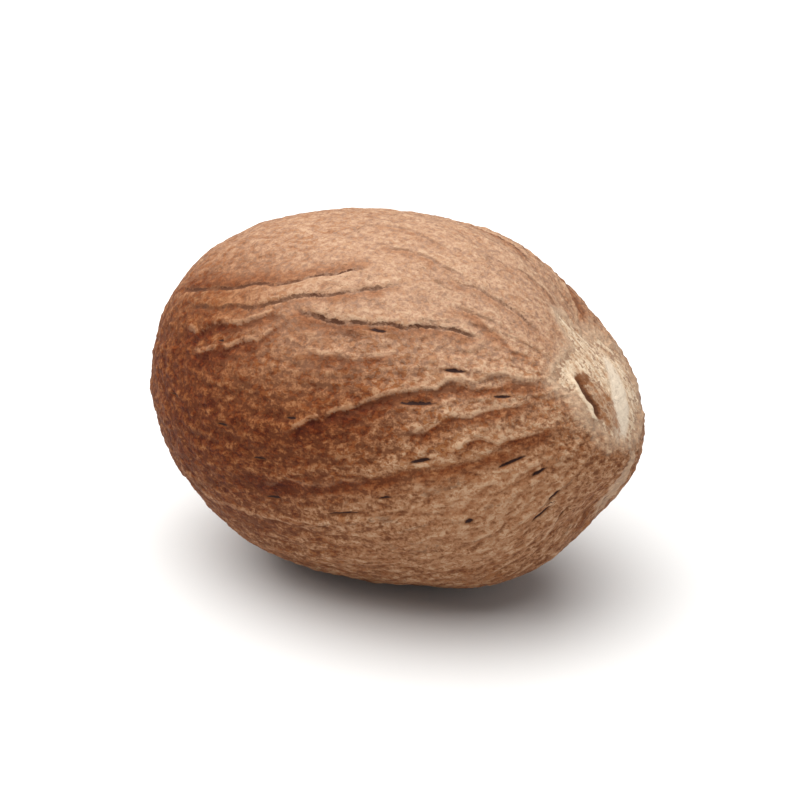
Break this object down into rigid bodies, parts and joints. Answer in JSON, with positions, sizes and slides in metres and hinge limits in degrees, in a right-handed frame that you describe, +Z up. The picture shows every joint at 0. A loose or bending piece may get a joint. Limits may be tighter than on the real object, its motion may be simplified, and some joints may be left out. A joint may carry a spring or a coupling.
{
  "type": "whole nutmeg",
  "caption": "Whole dried nutmeg kernel, an egg-shaped spice with long shallow wrinkles that gather at a pale scar on its pointed end, for grating.",
  "frame": {"origin": "under the middle of the kernel's box, on the surface that it rests on", "axes": "+X along the kernel to the pointed end with the scar, +Z up, +Y to the side that is plainer, with the deepest wrinkles on the -Y side"},
  "size_m": [0.0278, 0.02, 0.02],
  "materials": {
    "nutmeg_skin": "dry, dull and wrinkled brown kernel skin, with a paler bare scar at the pointed end"
  },
  "bodies": {
    "root": {"nutmeg": "nutmeg_skin"}
  },
  "joints": []
}
